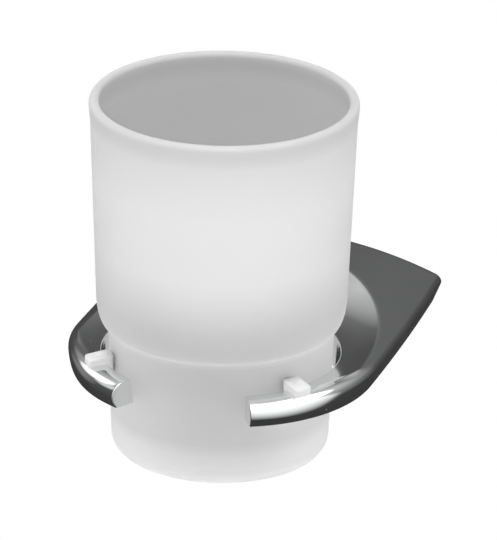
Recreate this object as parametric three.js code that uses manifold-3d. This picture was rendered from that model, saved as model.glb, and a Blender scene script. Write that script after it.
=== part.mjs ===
// Wall-mounted tumbler holder: a chrome-plated casting with an open ring, a frosted glass tumbler
// held off the metal by three plastic clips, and a hidden wall bracket locked by two grub screws.
// Millimetres, +Z up. The wall is the plane y = 0 and the room lies towards -Y.
// The origin is the middle of the bracket's back face, on the wall.

import * as THREE from 'three';
import { mergeVertices } from 'three/addons/utils/BufferGeometryUtils.js';
import Module from 'manifold-3d';

// Tumbler, heights measured from its own base
const tumblerHeight = 103.2;
const rimRadius = 37;
const rimBeadHeight = 8; // the outside swells to the rim over this height
const rimBeadProud = 0.5;
const glassWall = 2.8;
const upperTaper = 0.039; // radius gained per millimetre of height above the shoulder
const shoulderTop = 45.5;
const shoulderBottom = 37.2;
const footRadius = 31.25; // just under the shoulder
const footTaper = 0.0376; // radius lost per millimetre below the shoulder
const baseFillet = 5;
const glassFloor = 8.5;
const floorFillet = 5;

// Ring and its two arms, heights measured from the ring's top face
const ringAboveBase = 29; // the ring's top face above the tumbler's base
const ringGap = 2.15; // glass to ring all round
const armWidth = 6;
const armDepth = 7.6;
const armBulgeDepth = 4.2; // level of the arm's widest line, below the top
const armFullness = 3.2; // exponent of the oval over that line: 2 is an ellipse, more is squarer
const armFootInset = 1.8; // how far the arm's lower edge lies inside its widest line
const frontGapHalfAngle = 30.2; // degrees from the front to each arm's end
const holeChamfer = 0.5;

// Arched block between the ring and the wall
const wallDistance = 70; // tumbler axis to wall
const sideWiden = 4.9; // centre of the outer arc lies this far behind the tumbler axis
const wallNarrowing = 1.8; // the block's curved side walls draw in by this much at the wall
const cornerRadius = 0.8; // vertical corners at the wall
const archCrown = 8.2; // top of the arch above the ring's top face
const archEdge = -0.45; // the arch's height at the side walls
const edgeRounding = 3; // fillet between the arch and the side walls
const sideFootInset = 2.3; // draft of the side walls, at the lower edge
const bowlRadius = 38.5; // section radius of the bowl round the tumbler
const armBlendStart = 35; // degrees from the front where the arm section starts to turn into the block's
const armBlendEnd = 88;

// Clips
const clipAngle = 54.5; // degrees from the front to each front clip
const clipWidth = 5.2;
const clipReach = 5.5; // saddle beyond the hole's wall
const clipNoseTop = 2.4; // above the ring's top face, beside the glass
const clipEndTop = 1.5; // the front clips' outer ends, over the arm
const backClipEndTop = 2; // the back clip's outer end follows the bowl
const clipNoseRound = 0.9;
const clipEndRound = 0.7;
const clipLip = 1.2; // thickness of the hook under the ring
const clipLipReach = 2.4;
const seatGap = 0.3; // clearance wherever two pieces seat on each other

// Wall bracket, its pocket and the grub screws
const bracketWidth = 42;
const bracketHeight = 7.5;
const bracketDepth = 6;
const bracketCorner = 1.2;
const wallScrewSpacing = 28;
const wallScrewHoleRadius = 2.2;
const pocketDepth = 9.5;
const pocketFootRoom = 0.8; // under the bracket, so that the casting can be lifted off
const pocketSideRoom = 0.6;
const pocketFloorWall = 2.6; // metal under the pocket, threaded for the grub screws
const grubSpacing = 14;
const grubFromWall = 3.6;
const grubRadius = 2;
const grubTipRadius = 0.4;
const grubRecess = 0.4; // the screw's socket end lies this far inside the underside
const grubSocketRadius = 1.15;
const grubSocketDepth = 1.6;
const grooveDepth = 1.5; // right-angled groove under the bracket, where the screw points bear

// Facets
const turnFacets = 64;
const bowlFacets = 108;
const arcFacets = 72;
const sideFacets = 8;
const cornerFacets = 3;
const sectionFacets = 6;
const smallFacets = 24;
const lipFacets = 4;

// Sizes that follow from the ones above
const overshoot = 5; // how far a cutting tool runs past what it cuts
const degrees = Math.PI / 180;
const footRadiusAt = (height) => footRadius - footTaper * (shoulderBottom - height);
const glassRadiusAtRing = footRadiusAt(ringAboveBase);
const holeRadius = glassRadiusAtRing + ringGap;
const halfWidth = holeRadius + armWidth + sideWiden;
const pocketRoof = bracketHeight / 2 + seatGap;
const pocketFloor = -bracketHeight / 2 - pocketFootRoom;
const ringTop = pocketFloor - pocketFloorWall + armDepth; // above the origin
const underside = ringTop - armDepth;

const chrome = new THREE.MeshStandardMaterial({ color: 0xb8babd, roughness: 0.1, metalness: 1 });
const frostedGlass = new THREE.MeshStandardMaterial({ color: 0xe2e4e5, roughness: 0.6, metalness: 0 });
const clipPlastic = new THREE.MeshStandardMaterial({ color: 0xf1f2f1, roughness: 0.4, metalness: 0 });
const zincSteel = new THREE.MeshStandardMaterial({ color: 0xa5a8ab, roughness: 0.4, metalness: 1 });
const blackSteel = new THREE.MeshStandardMaterial({ color: 0x4a4c4f, roughness: 0.4, metalness: 1 });

const wasm = await Module();
wasm.setup();

// Turn a closed geometry into a solid that can be joined and cut.
function toSolid(geometry) {
  const bare = geometry.clone();
  bare.deleteAttribute('normal');
  bare.deleteAttribute('uv');
  const merged = mergeVertices(bare, 1e-4);
  const mesh = new wasm.Mesh({
    numProp: 3,
    vertProperties: Float32Array.from(merged.attributes.position.array),
    triVerts: Uint32Array.from(merged.index.array),
  });
  return new wasm.Manifold(mesh);
}

// Turn a solid back into a geometry.
function toGeometry(solid) {
  const mesh = solid.getMesh();
  const geometry = new THREE.BufferGeometry();
  geometry.setAttribute('position', new THREE.BufferAttribute(mesh.vertProperties, 3));
  geometry.setIndex(new THREE.BufferAttribute(mesh.triVerts, 1));
  geometry.computeVertexNormals();
  return geometry;
}

// A mesh with the name of its piece.
function piece(name, geometry, material) {
  const mesh = new THREE.Mesh(geometry, material);
  mesh.name = name;
  return mesh;
}

// Revolve a profile of [radius, height] points about the vertical axis.
function revolve(profile, facets) {
  const points = profile.map(([radius, height]) => new THREE.Vector2(radius, height));
  const geometry = new THREE.LatheGeometry(points, facets);
  geometry.rotateX(Math.PI / 2);
  return geometry;
}

// Points on an elliptical arc, from one angle to another in degrees, as [radius, height] pairs.
function arcPoints([centreRadius, centreHeight], [across, up], from, to, facets) {
  const points = [];
  for (let step = 0; step <= facets; step += 1) {
    const angle = THREE.MathUtils.lerp(from, to, step / facets) * degrees;
    points.push([centreRadius + across * Math.cos(angle), centreHeight + up * Math.sin(angle)]);
  }
  return points;
}

// A solid skinned over closed sections that all have the same number of points, lowest first.
function loft(sections) {
  const count = sections[0].length;
  const positions = sections.flat().flatMap((point) => [point.x, point.y, point.z]);
  const indices = [];
  for (let level = 0; level < sections.length - 1; level += 1) {
    for (let step = 0; step < count; step += 1) {
      const here = level * count + step;
      const next = level * count + ((step + 1) % count);
      indices.push(here, next, next + count);
      indices.push(here, next + count, here + count);
    }
  }
  const lastRow = (sections.length - 1) * count;
  const lowest = sections[0].map((point) => new THREE.Vector2(point.x, point.y));
  const highest = sections[sections.length - 1].map((point) => new THREE.Vector2(point.x, point.y));
  for (const [a, b, c] of THREE.ShapeUtils.triangulateShape(lowest, [])) {
    indices.push(a, c, b);
  }
  for (const [a, b, c] of THREE.ShapeUtils.triangulateShape(highest, [])) {
    indices.push(lastRow + a, lastRow + b, lastRow + c);
  }
  const geometry = new THREE.BufferGeometry();
  geometry.setAttribute('position', new THREE.Float32BufferAttribute(positions, 3));
  geometry.setIndex(indices);
  return geometry;
}

// A rectangle with round corners, centred on the origin.
function roundedRectangle(width, height, radius) {
  const right = width / 2;
  const top = height / 2;
  const shape = new THREE.Shape();
  shape.absarc(right - radius, top - radius, radius, 0, Math.PI / 2);
  shape.absarc(-right + radius, top - radius, radius, Math.PI / 2, Math.PI);
  shape.absarc(-right + radius, -top + radius, radius, Math.PI, 1.5 * Math.PI);
  shape.absarc(right - radius, -top + radius, radius, 1.5 * Math.PI, 2 * Math.PI);
  return shape;
}

// Extrude a shape drawn in the X-Z plane from the wall plane y = 0 towards the room.
function extrudeFromWall(shape, depth) {
  const geometry = new THREE.ExtrudeGeometry(shape, { depth, bevelEnabled: false, curveSegments: 4 });
  geometry.rotateX(Math.PI / 2);
  return geometry;
}

// An upright cylinder between two heights.
function uprightCylinder(radius, low, high, facets) {
  const geometry = new THREE.CylinderGeometry(radius, radius, high - low, facets);
  geometry.rotateX(Math.PI / 2);
  geometry.translate(0, 0, (low + high) / 2);
  return geometry;
}

// Tumbler: the outside's slight swell below the rim, from one height to just under another.
function rimSwell(low, high) {
  const points = [];
  for (let step = 0; step < lipFacets; step += 1) {
    const share = step / lipFacets;
    const proud = rimBeadProud * THREE.MathUtils.smoothstep(share, 0, 1);
    points.push([rimRadius - rimBeadProud + proud, THREE.MathUtils.lerp(low, high, share)]);
  }
  return points;
}

// Tumbler: outer profile from the base's centre up to the rim, grown sideways for clearance cuts.
function tumblerOutside(grow) {
  const upperFoot = rimRadius - rimBeadProud - upperTaper * (tumblerHeight - rimBeadHeight - shoulderTop);
  const baseRadius = footRadiusAt(baseFillet);
  const lipRadius = glassWall / 2;
  return [
    [0, 0],
    ...arcPoints([baseRadius - baseFillet, baseFillet], [baseFillet, baseFillet], -90, 0, sectionFacets),
    ...arcPoints(
      [footRadius, shoulderTop],
      [upperFoot - footRadius, shoulderTop - shoulderBottom],
      -90,
      0,
      sectionFacets,
    ),
    ...rimSwell(tumblerHeight - rimBeadHeight, tumblerHeight - lipRadius),
    ...arcPoints(
      [rimRadius - lipRadius, tumblerHeight - lipRadius],
      [lipRadius, lipRadius],
      0,
      90,
      lipFacets,
    ),
  ].map(([radius, height]) => [radius > 0 ? radius + grow : 0, height]);
}

// Tumbler: inner profile from the rim down to the middle of its floor.
function tumblerInside() {
  const lipRadius = glassWall / 2;
  const upperFoot = rimRadius - rimBeadProud - upperTaper * (tumblerHeight - rimBeadHeight - shoulderTop);
  const footInside = footRadius - glassWall;
  const cornerHeight = glassFloor + floorFillet;
  const cornerRadiusInside = footRadiusAt(cornerHeight) - glassWall;
  return [
    ...arcPoints(
      [rimRadius - lipRadius, tumblerHeight - lipRadius],
      [lipRadius, lipRadius],
      90,
      180,
      lipFacets,
    ).slice(1),
    ...arcPoints(
      [footInside, shoulderTop],
      [upperFoot - footRadius, shoulderTop - shoulderBottom - glassWall],
      0,
      -90,
      sectionFacets,
    ),
    ...arcPoints(
      [cornerRadiusInside - floorFillet, cornerHeight],
      [floorFillet, floorFillet],
      0,
      -90,
      sectionFacets,
    ),
    [0, glassFloor],
  ];
}

// Arch over the block: the arc through its crown and the two side edges.
const archSag = archCrown - archEdge;
const archRadius = (halfWidth ** 2 + archSag ** 2) / (2 * archSag);
const archCentre = archCrown - archRadius;
const roundingPath = archRadius - edgeRounding;
const roundingRise = Math.sqrt(roundingPath ** 2 - (halfWidth - edgeRounding) ** 2);
const roundingCentre = archCentre + roundingRise;
const roundingEnd = roundingCentre + (edgeRounding * roundingRise) / roundingPath;

// How far the arm's section lies inside the outline at a height: an ellipse below its widest line and a
// squarer oval above it.
function armInset(height) {
  const above = height + armBulgeDepth;
  if (above < 0) {
    const lowerReach = (armDepth - armBulgeDepth) / Math.sqrt(1 - (1 - armFootInset / armWidth) ** 2);
    return armWidth * (1 - Math.sqrt(1 - (above / lowerReach) ** 2));
  }
  const share = above / armBulgeDepth;
  if (share < 1) {
    return armWidth * (1 - (1 - share ** armFullness) ** (1 / armFullness));
  }
  const runIn = 10; // above its top the arm runs inwards this many times faster than it rises
  return Math.min(armWidth + height * runIn, 3 * armWidth);
}

// How far the block's section lies inside the outline at a height: draft below, a fillet into the arch above.
function blockInset(height, grow) {
  if (height < roundingCentre) {
    return (sideFootInset * (roundingCentre - height)) / (roundingCentre + armDepth + grow);
  }
  const rise = Math.min(height, roundingEnd) - roundingCentre;
  return edgeRounding - Math.sqrt(edgeRounding ** 2 - rise ** 2);
}

// One level of the casting, seen from above: the wall corners, the curved sides and the front arc.
function castingOutline(height, grow) {
  const block = blockInset(height, grow) - grow;
  const cornerX = halfWidth - wallNarrowing - block - cornerRadius;
  const cornerY = wallDistance - cornerRadius;
  const half = [];
  for (let step = 0; step < cornerFacets; step += 1) {
    const angle = (90 * degrees * (cornerFacets - step)) / cornerFacets;
    half.push([cornerX + cornerRadius * Math.cos(angle), cornerY + cornerRadius * Math.sin(angle)]);
  }
  for (let step = 0; step < sideFacets; step += 1) {
    const toWall = 1 - step / sideFacets;
    const across = halfWidth - block - wallNarrowing * toWall ** 2;
    half.push([across, THREE.MathUtils.lerp(sideWiden, cornerY, toWall)]);
  }
  const halfFacets = arcFacets / 2;
  for (let step = 0; step < halfFacets; step += 1) {
    const fromFront = 90 - (90 * step) / halfFacets;
    const blend = THREE.MathUtils.smoothstep(fromFront, armBlendStart, armBlendEnd);
    const inset = THREE.MathUtils.lerp(armInset(height) - grow, block, blend);
    const radius = halfWidth - inset;
    half.push([radius * Math.sin(fromFront * degrees), sideWiden - radius * Math.cos(fromFront * degrees)]);
  }
  const front = [[0, sideWiden - halfWidth + armInset(height) - grow]];
  const mirrored = half.map(([x, y]) => [-x, y]).reverse();
  // Right half backwards to forwards, the front point, then the left half: clockwise, so it is turned round.
  return [...half, ...front, ...mirrored].reverse().map(([x, y]) => new THREE.Vector3(x, y, height));
}

// The casting's outside: levels of the outline, under the arch, with the bowl and the hole turned out.
// A grown copy, larger by the same clearance all over, cuts the seats of what sits on the casting.
function castingForm(grow) {
  const levels = [-armDepth - grow];
  for (let step = 1; step < sectionFacets / 2; step += 1) {
    levels.push(-armDepth + ((armDepth - armBulgeDepth) * step) / (sectionFacets / 2));
  }
  for (const [, height] of arcPoints([0, -armBulgeDepth], [0, armBulgeDepth], 0, 90, sectionFacets)) {
    levels.push(height);
  }
  const topFacets = 3;
  for (let step = 1; step <= topFacets; step += 1) {
    levels.push((roundingEnd * step) / topFacets);
  }
  levels.push(archCrown + overshoot);
  const skin = toSolid(loft(levels.map((height) => castingOutline(height, grow))));

  const archReach = Math.asin((halfWidth + overshoot) / archRadius);
  const underArch = new THREE.Shape();
  underArch.absarc(0, archCentre, archRadius + grow, Math.PI / 2 - archReach, Math.PI / 2 + archReach);
  underArch.lineTo(-halfWidth - overshoot, -armDepth - overshoot);
  underArch.lineTo(halfWidth + overshoot, -armDepth - overshoot);
  const archLength = wallDistance + halfWidth + overshoot;
  const arch = new THREE.ExtrudeGeometry(underArch, {
    depth: archLength,
    bevelEnabled: false,
    curveSegments: arcFacets / 2,
  });
  arch.rotateX(Math.PI / 2);
  arch.translate(0, wallDistance + overshoot / 2, 0);

  const bowlSweep = 48; // degrees, enough to pass out through the arch
  const bowl = revolve(
    [
      [0, -armDepth - overshoot],
      [holeRadius - grow, -armDepth - overshoot],
      [holeRadius - grow, grow - holeChamfer],
      ...arcPoints(
        [holeRadius, bowlRadius],
        [bowlRadius - grow, bowlRadius - grow],
        -90 + Math.asin(holeChamfer / bowlRadius) / degrees,
        -90 + bowlSweep,
        sectionFacets * 2,
      ),
      [0, bowlRadius - (bowlRadius - grow) * Math.cos(bowlSweep * degrees)],
    ],
    bowlFacets,
  );
  return skin.intersect(toSolid(arch)).subtract(toSolid(bowl));
}

// Holder body: the casting's form with the front gap, the wall pocket and the grub screw holes cut.
function holderBody() {
  const reach = 2 * halfWidth;
  const gapX = reach * Math.sin(frontGapHalfAngle * degrees);
  const gapY = -reach * Math.cos(frontGapHalfAngle * degrees);
  const gapShape = new THREE.Shape();
  gapShape.moveTo(0, 0);
  gapShape.lineTo(-gapX, gapY);
  gapShape.lineTo(gapX, gapY);
  const gapHeight = armDepth + archCrown + 2 * overshoot;
  const gap = new THREE.ExtrudeGeometry(gapShape, { depth: gapHeight, bevelEnabled: false });
  gap.translate(0, 0, -armDepth - overshoot);

  const pocketWidth = bracketWidth + 2 * pocketSideRoom;
  const pocketShape = roundedRectangle(pocketWidth, pocketRoof - pocketFloor, bracketCorner);
  const pocket = extrudeFromWall(pocketShape, pocketDepth + overshoot);
  pocket.translate(0, wallDistance + overshoot, (pocketRoof + pocketFloor) / 2 - ringTop);

  let body = castingForm(0).subtract(toSolid(gap)).subtract(toSolid(pocket));
  for (const side of [-1, 1]) {
    const hole = uprightCylinder(grubRadius + seatGap, underside - overshoot, 0, smallFacets);
    hole.translate((side * grubSpacing) / 2, wallDistance - grubFromWall, -ringTop);
    body = body.subtract(toSolid(hole));
  }
  return toGeometry(body);
}

// Room that a clip leaves free: the casting and the glass, each with the seat clearance round it.
const castingRoom = castingForm(seatGap);
const glassRoomForm = revolve([...tumblerOutside(seatGap), [0, tumblerHeight]], turnFacets);
glassRoomForm.translate(0, 0, -ringAboveBase);
const glassRoom = toSolid(glassRoomForm);

// Clip: a saddle over the ring, a tongue down the hole's wall and a hook under the ring.
// Drawn in a section through the tumbler's axis, then cut to seat on the casting and clear the glass.
function clip(fromFront, endTop) {
  const inner = glassRadiusAtRing + seatGap;
  const outer = holeRadius + clipReach;
  const hookEnd = holeRadius + clipLipReach;
  const hookFoot = -armDepth - seatGap - clipLip;
  const section = new THREE.Shape();
  section.moveTo(inner - ringGap, hookFoot);
  section.lineTo(hookEnd, hookFoot);
  section.lineTo(hookEnd, -armDepth / 2);
  section.lineTo(outer, -armDepth / 2);
  section.lineTo(outer, endTop - clipEndRound);
  section.quadraticCurveTo(outer, endTop, outer - clipEndRound, endTop);
  section.lineTo(inner + clipNoseRound, clipNoseTop);
  section.quadraticCurveTo(inner, clipNoseTop, inner, clipNoseTop - clipNoseRound);
  section.lineTo(inner - ringGap, clipNoseTop - clipNoseRound - ringGap);
  const block = new THREE.ExtrudeGeometry(section, {
    depth: clipWidth,
    bevelEnabled: false,
    curveSegments: 4,
  });
  block.rotateX(Math.PI / 2);
  block.translate(0, clipWidth / 2, 0);
  block.rotateZ((fromFront - 90) * degrees);
  return toGeometry(toSolid(block).subtract(castingRoom).subtract(glassRoom));
}

// Wall bracket: a plate with two screw holes and a groove along its underside.
function wallBracket() {
  const plate = extrudeFromWall(roundedRectangle(bracketWidth, bracketHeight, bracketCorner), bracketDepth);
  let bracket = toSolid(plate);
  for (const side of [-1, 1]) {
    const hole = new THREE.CylinderGeometry(
      wallScrewHoleRadius,
      wallScrewHoleRadius,
      bracketDepth + 2 * overshoot,
      smallFacets,
    );
    hole.translate((side * wallScrewSpacing) / 2, -bracketDepth / 2, 0);
    bracket = bracket.subtract(toSolid(hole));
  }
  const grooveSide = grooveDepth * Math.SQRT2;
  const groove = new THREE.BoxGeometry(bracketWidth + 2 * overshoot, grooveSide, grooveSide);
  groove.rotateX(Math.PI / 4);
  groove.translate(0, -grubFromWall, -bracketHeight / 2);
  return toGeometry(bracket.subtract(toSolid(groove)));
}

// Grub screw: a cone-pointed set screw with a hexagon socket in its lower end.
function grubScrew() {
  const pointHeight = grooveDepth - bracketHeight / 2 - seatGap * Math.SQRT2;
  const low = underside + grubRecess;
  const body = revolve(
    [
      [0, low],
      [grubRadius, low],
      [grubRadius, pointHeight - grubRadius],
      [grubTipRadius, pointHeight - grubTipRadius],
      [0, pointHeight - grubTipRadius],
    ],
    smallFacets,
  );
  const socket = uprightCylinder(grubSocketRadius, low - overshoot, low + grubSocketDepth, 6);
  return toGeometry(toSolid(body).subtract(toSolid(socket)));
}

// Everything round the tumbler shares a frame with its origin on the tumbler's axis, at the ring's top.
const ringFrame = new THREE.Group();
ringFrame.position.set(0, -wallDistance, ringTop);
ringFrame.add(piece('holder_body', holderBody(), chrome));
ringFrame.add(piece('left_clip', clip(-clipAngle, clipEndTop), clipPlastic));
ringFrame.add(piece('right_clip', clip(clipAngle, clipEndTop), clipPlastic));
ringFrame.add(piece('back_clip', clip(180, backClipEndTop), clipPlastic));

const tumblerProfile = [...tumblerOutside(0), ...tumblerInside()];
const tumbler = piece('tumbler', revolve(tumblerProfile, turnFacets), frostedGlass);
tumbler.position.z = -ringAboveBase;
ringFrame.add(tumbler);

const tumblerHolder = new THREE.Group();
tumblerHolder.add(ringFrame);
tumblerHolder.add(piece('wall_bracket', wallBracket(), zincSteel));
for (const [name, side] of [['left_grub_screw', -1], ['right_grub_screw', 1]]) {
  const screw = piece(name, grubScrew(), blackSteel);
  screw.position.set((side * grubSpacing) / 2, -grubFromWall, 0);
  tumblerHolder.add(screw);
}

export default tumblerHolder;
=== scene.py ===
"""A wall-mounted tumbler holder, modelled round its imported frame.

A chrome-plated casting carries a frosted glass tumbler on three plastic clips. A steel bracket and two
grub screws hold the casting to the wall. Metres, +Z up, the wall is the plane y = 0, the room is -Y.
"""

import math

import bmesh
import bpy
import numpy as np
from bpy.props import FloatProperty, FloatVectorProperty, IntProperty, PointerProperty
from mathutils import Matrix, Vector


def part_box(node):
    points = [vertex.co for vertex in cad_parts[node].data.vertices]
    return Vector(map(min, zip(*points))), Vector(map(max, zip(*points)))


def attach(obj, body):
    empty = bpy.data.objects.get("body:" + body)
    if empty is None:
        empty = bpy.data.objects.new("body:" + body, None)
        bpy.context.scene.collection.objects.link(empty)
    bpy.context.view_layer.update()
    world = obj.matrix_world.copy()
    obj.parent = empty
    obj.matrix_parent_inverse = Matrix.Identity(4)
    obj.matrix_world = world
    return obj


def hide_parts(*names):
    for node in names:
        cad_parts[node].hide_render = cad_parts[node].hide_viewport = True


bl_info = {
    "name": "Tumbler Holder",
    "version": (1, 0, 0),
    "blender": (4, 5, 0),
    "location": "3D View > Sidebar > Tumbler Holder",
    "description": "Models a wall-mounted tumbler holder round its packed frame",
    "category": "Add Mesh",
}

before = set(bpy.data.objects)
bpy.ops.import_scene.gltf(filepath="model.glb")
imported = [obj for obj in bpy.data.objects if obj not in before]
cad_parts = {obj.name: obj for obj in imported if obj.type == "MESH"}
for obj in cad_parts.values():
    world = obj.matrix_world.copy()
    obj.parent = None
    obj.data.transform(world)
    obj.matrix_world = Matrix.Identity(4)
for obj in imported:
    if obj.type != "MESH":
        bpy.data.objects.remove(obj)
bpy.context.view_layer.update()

MM = 0.001

# Places and sizes that the frame gives
GLASS_LOW, GLASS_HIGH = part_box("tumbler")
BODY_LOW, BODY_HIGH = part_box("holder_body")
BRACKET_LOW, BRACKET_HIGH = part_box("wall_bracket")
SCREW_LOW, SCREW_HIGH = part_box("right_grub_screw")
CLIP_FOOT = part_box("back_clip")[0].z
SCREW_AXIS = Vector(((SCREW_LOW.x + SCREW_HIGH.x) / 2, (SCREW_LOW.y + SCREW_HIGH.y) / 2, 0.0))
GLASS_AXIS = Vector((0.0, (GLASS_LOW.y + GLASS_HIGH.y) / 2, 0.0))
GLASS_HEIGHT = GLASS_HIGH.z - GLASS_LOW.z
WALL_DISTANCE = -GLASS_AXIS.y

# Limits for modelling
WELD = 1e-6  # points closer than this become one
FINE_WELD = 1e-7
PARALLEL = 0.9  # an edge runs along an axis from this share of its length on
CREASE = math.radians(40)  # edges that turn more than this are softened

# Points along the glass's profile, before they are spaced anew
FILLET_POINTS = 40
SHOULDER_POINTS = 60
SWELL_POINTS = 40
RIM_POINTS = 30

# Painted light and shade on the etched glass, by height above its base in millimetres: a brightness that
# multiplies its colour, brightest at its thick floor, at the lower corner of the shoulder and in the middle
# of the wide part, as painted glow and painted highlight, with painted shade on the foot, just above that
# corner and towards the rim
GLASS_PAINTED_LIGHT = (
    (0.5, 0.68),
    (3, 0.9),
    (6, 1.0),
    (9, 1.0),
    (13, 0.87),
    (35.5, 0.85),
    (37.2, 0.95),
    (39, 0.78),
    (46, 0.77),
    (62, 0.94),
    (80, 0.93),
    (96, 0.86),
    (99.5, 0.76),
    (102, 0.72),
)

# Camera: the sensor's width spans the longer side of the picture, which is its height
SENSOR = 36.0
IMAGE_HEIGHT = 540
AIM_HEIGHT = 22.99 * MM
AIM_SHIFT = -0.2 * MM
AIM_LEFT = 27.2  # pixels from the glass's axis to the picture's middle
AIM_BELOW = 2.9  # pixels from the picture's middle down to the aim
VIEW_END = 20.0

# Floor
FLOOR_HEIGHT = -0.28
FLOOR_RADIUS = 0.25
FLOOR_GLOW = 0.65  # share of plain white in the floor that the eye sees

# Lamps
LAMP_AIM = Vector((0, GLASS_AXIS.y, 54 * MM))
TOP_LAMP_PLACE = (0, GLASS_AXIS.y - 0.15, 1.3)
TOP_LAMP_SIZE = 0.5
BASE_LAMP_PLACE = (0, GLASS_AXIS.y, -0.11)
BASE_LAMP_SIZE = 0.06
SPOT_PLACE = (0.37, GLASS_AXIS.y - 1.1, -0.1)
SPOT_ANGLE = math.radians(4.4)
SPOT_RADIUS = 0.008

# Soft light from all round: the sines of the elevations where its low and high strength are reached, the
# turn of the line to its brighter sides, and its gain square to that line and along it
AMBIENT_START = -0.3
AMBIENT_END = 0.7
SIDE_TURN = math.radians(18)
SIDE_LEAST = 0.55
SIDE_MOST = 1.45

# Light that the mirrors see: the dark of the room, then its rises, each with the elevations in degrees where
# it starts and ends, and its gain
TENT_RADIUS = 3.0
TENT_DARK = 0.045
SKY_STEPS = (
    (-20, 10, 0.03),
    (10, 22, 0.01),
    (22, 32, 0.08),
    (32, 42, 0.08),
    (42, 54, 0.2),
)
# The room in front, with the angles from its bearing between which it ends
FRONT_BEARING = 170
FRONT_FULL = 84
FRONT_END = 93
# Soft boxes: bearing clockwise from the back, elevation, full and fading radius in degrees, strength, and
# whether the box shows only in the room in front
SOFT_BOXES = (
    (100, 75, 27.8, 30, 1.2, False),
    (120, 45, 22, 86, 0.17, False),
    (120, 45, 22, 86, 0.9, True),
    (-66, 37, 10, 13, 0.9, False),
    (-90, 37, 7, 12, 0.5, False),
    (-74, 12, 5, 20, 0.15, False),
    (-52, 40, 4, 20, 0.25, False),
)


def linear_colour(code):
    """Turns an sRGB hex code into linear red, green, blue and alpha."""
    channels = [int(code[at:at + 2], 16) / 255 for at in (0, 2, 4)]
    linear = [c / 12.92 if c <= 0.04045 else ((c + 0.055) / 1.055) ** 2.4 for c in channels]
    return (*linear, 1.0)


def size(name, description, default):
    """A length that a user may change, given in millimetres."""
    return FloatProperty(name=name, description=description, default=default * MM, unit="LENGTH")


def angle(name, description, default):
    """An angle that a user may change, given in degrees."""
    return FloatProperty(name=name, description=description, default=math.radians(default), subtype="ANGLE")


def colour(name, description, code):
    """A colour that a user may change, given as an sRGB hex code."""
    return FloatVectorProperty(
        name=name,
        description=description,
        default=linear_colour(code),
        size=4,
        subtype="COLOR",
        min=0,
        max=1,
    )


class TumblerSizes(bpy.types.PropertyGroup):
    """Sizes of the glass, with heights above its own base"""

    height: size("Height", "Base to rim", GLASS_HEIGHT / MM)
    rim_radius: size("Rim radius", "Outside of the rim", GLASS_HIGH.x / MM)
    wall: size("Wall", "Thickness of the side", 2.8)
    swell_height: size("Swell height", "Height over which the outside swells to the rim", 8.0)
    swell: size("Swell", "How far the rim stands out", 0.5)
    upper_taper: FloatProperty(
        name="Upper taper", description="Radius gained per height above the shoulder", default=0.039
    )
    shoulder_top: size("Shoulder top", "Where the wide part starts", 45.5)
    shoulder_bottom: size("Shoulder bottom", "Where the foot ends", 37.2)
    foot_radius: size("Foot radius", "Just under the shoulder", 31.25)
    foot_taper: FloatProperty(
        name="Foot taper", description="Radius lost per height below the shoulder", default=0.0376
    )
    base_fillet: size("Base fillet", "Rounding under the foot", 5.0)
    floor: size("Floor", "Thickness of the floor", 8.5)
    floor_fillet: size("Floor fillet", "Rounding inside the foot", 5.0)
    ease: size("Ease", "How far the mould rounds each corner", 0.55)
    points: IntProperty(name="Points", description="Points along the profile", default=150)
    steps: IntProperty(name="Steps", description="Facets round the axis", default=192)


class CastingSizes(bpy.types.PropertyGroup):
    """Sizes of the chrome casting, with heights above the ring's top face"""

    half_width: size("Half width", "Middle to the widest point", BODY_HIGH.x / MM)
    arm_depth: size("Arm depth", "Ring's top face to the underside", 7.6)
    arm_width: size("Arm width", "Ring's hole to the outside", 6.0)
    arm_bulge: size("Arm bulge", "Depth of the arm's widest line", 4.2)
    arm_fullness: FloatProperty(
        name="Arm fullness", description="Exponent of the arm's upper oval, 2 for an ellipse", default=2.1
    )
    arm_foot: size("Arm foot", "How far the lower edge lies in from the widest line", 1.8)
    side_widen: size("Side widening", "Outer arc's centre behind the tumbler's axis", 4.9)
    wall_narrowing: size("Wall narrowing", "How far each side draws in at the wall", 1.8)
    corner: size("Corner", "Upright corners at the wall", 0.8)
    arch_edge: size("Arch edge", "Height of the arch at the sides", -0.45)
    side_rounding: size("Side rounding", "Fillet between arch and sides", 2.2)
    side_foot: size("Side foot", "Draft of the sides at the lower edge", 2.3)
    bowl: size("Bowl", "Section radius of the bowl", 39.5)
    hole_draft: size("Hole draft", "How far the ring's hole narrows to its lower edge", 1.4)
    front_gap: angle("Front gap", "Front to each arm's end", 30.2)
    blend_start: angle("Blend start", "Where the arm starts to turn into the block", 35.0)
    blend_end: angle("Blend end", "Where the block is reached", 88.0)
    edge_ease: size("Edge ease", "How far polishing rounds each edge", 0.5)
    tip_ease: size("Tip ease", "Rounding of the arms' ends", 0.3)
    points: IntProperty(name="Points", description="Points round one section", default=120)
    stations: IntProperty(name="Stations", description="Sections in one half", default=170)


class ClipSizes(bpy.types.PropertyGroup):
    """Sizes of the plastic clips, with heights above the ring's top face"""

    bearing: angle("Bearing", "Front to each front clip", 54.5)
    width: size("Width", "Along the ring", 5.2)
    reach: size("Reach", "Saddle beyond the hole's wall", 5.5)
    glass_gap: size("Glass gap", "Room between clip and glass", 0.1)
    metal_gap: size("Metal gap", "Room between clip and casting", 0.05)
    nose_top: size("Nose top", "Height beside the glass", 2.4)
    end_top: size("End top", "Height of a front clip's outer end", 1.5)
    back_end_top: size("Back end top", "Height of the back clip's outer end", 2.0)
    nose_round: size("Nose round", "Rounding over the nose", 0.9)
    end_round: size("End round", "Rounding over the outer end", 0.7)
    nose_plan: size("Nose in plan", "Upright edges of the nose", 2.2)
    end_plan: size("End in plan", "Upright edges of the outer end", 0.9)
    lip_reach: size("Lip reach", "Hook beyond the hole's wall", 2.4)
    edge: size("Edge", "Moulded rounding of the edges", 0.22)
    gate_across: size("Gate across", "Width of the moulding mark on top", 2.8)
    gate_deep: size("Gate deep", "Depth of the moulding mark", 0.4)


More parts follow.
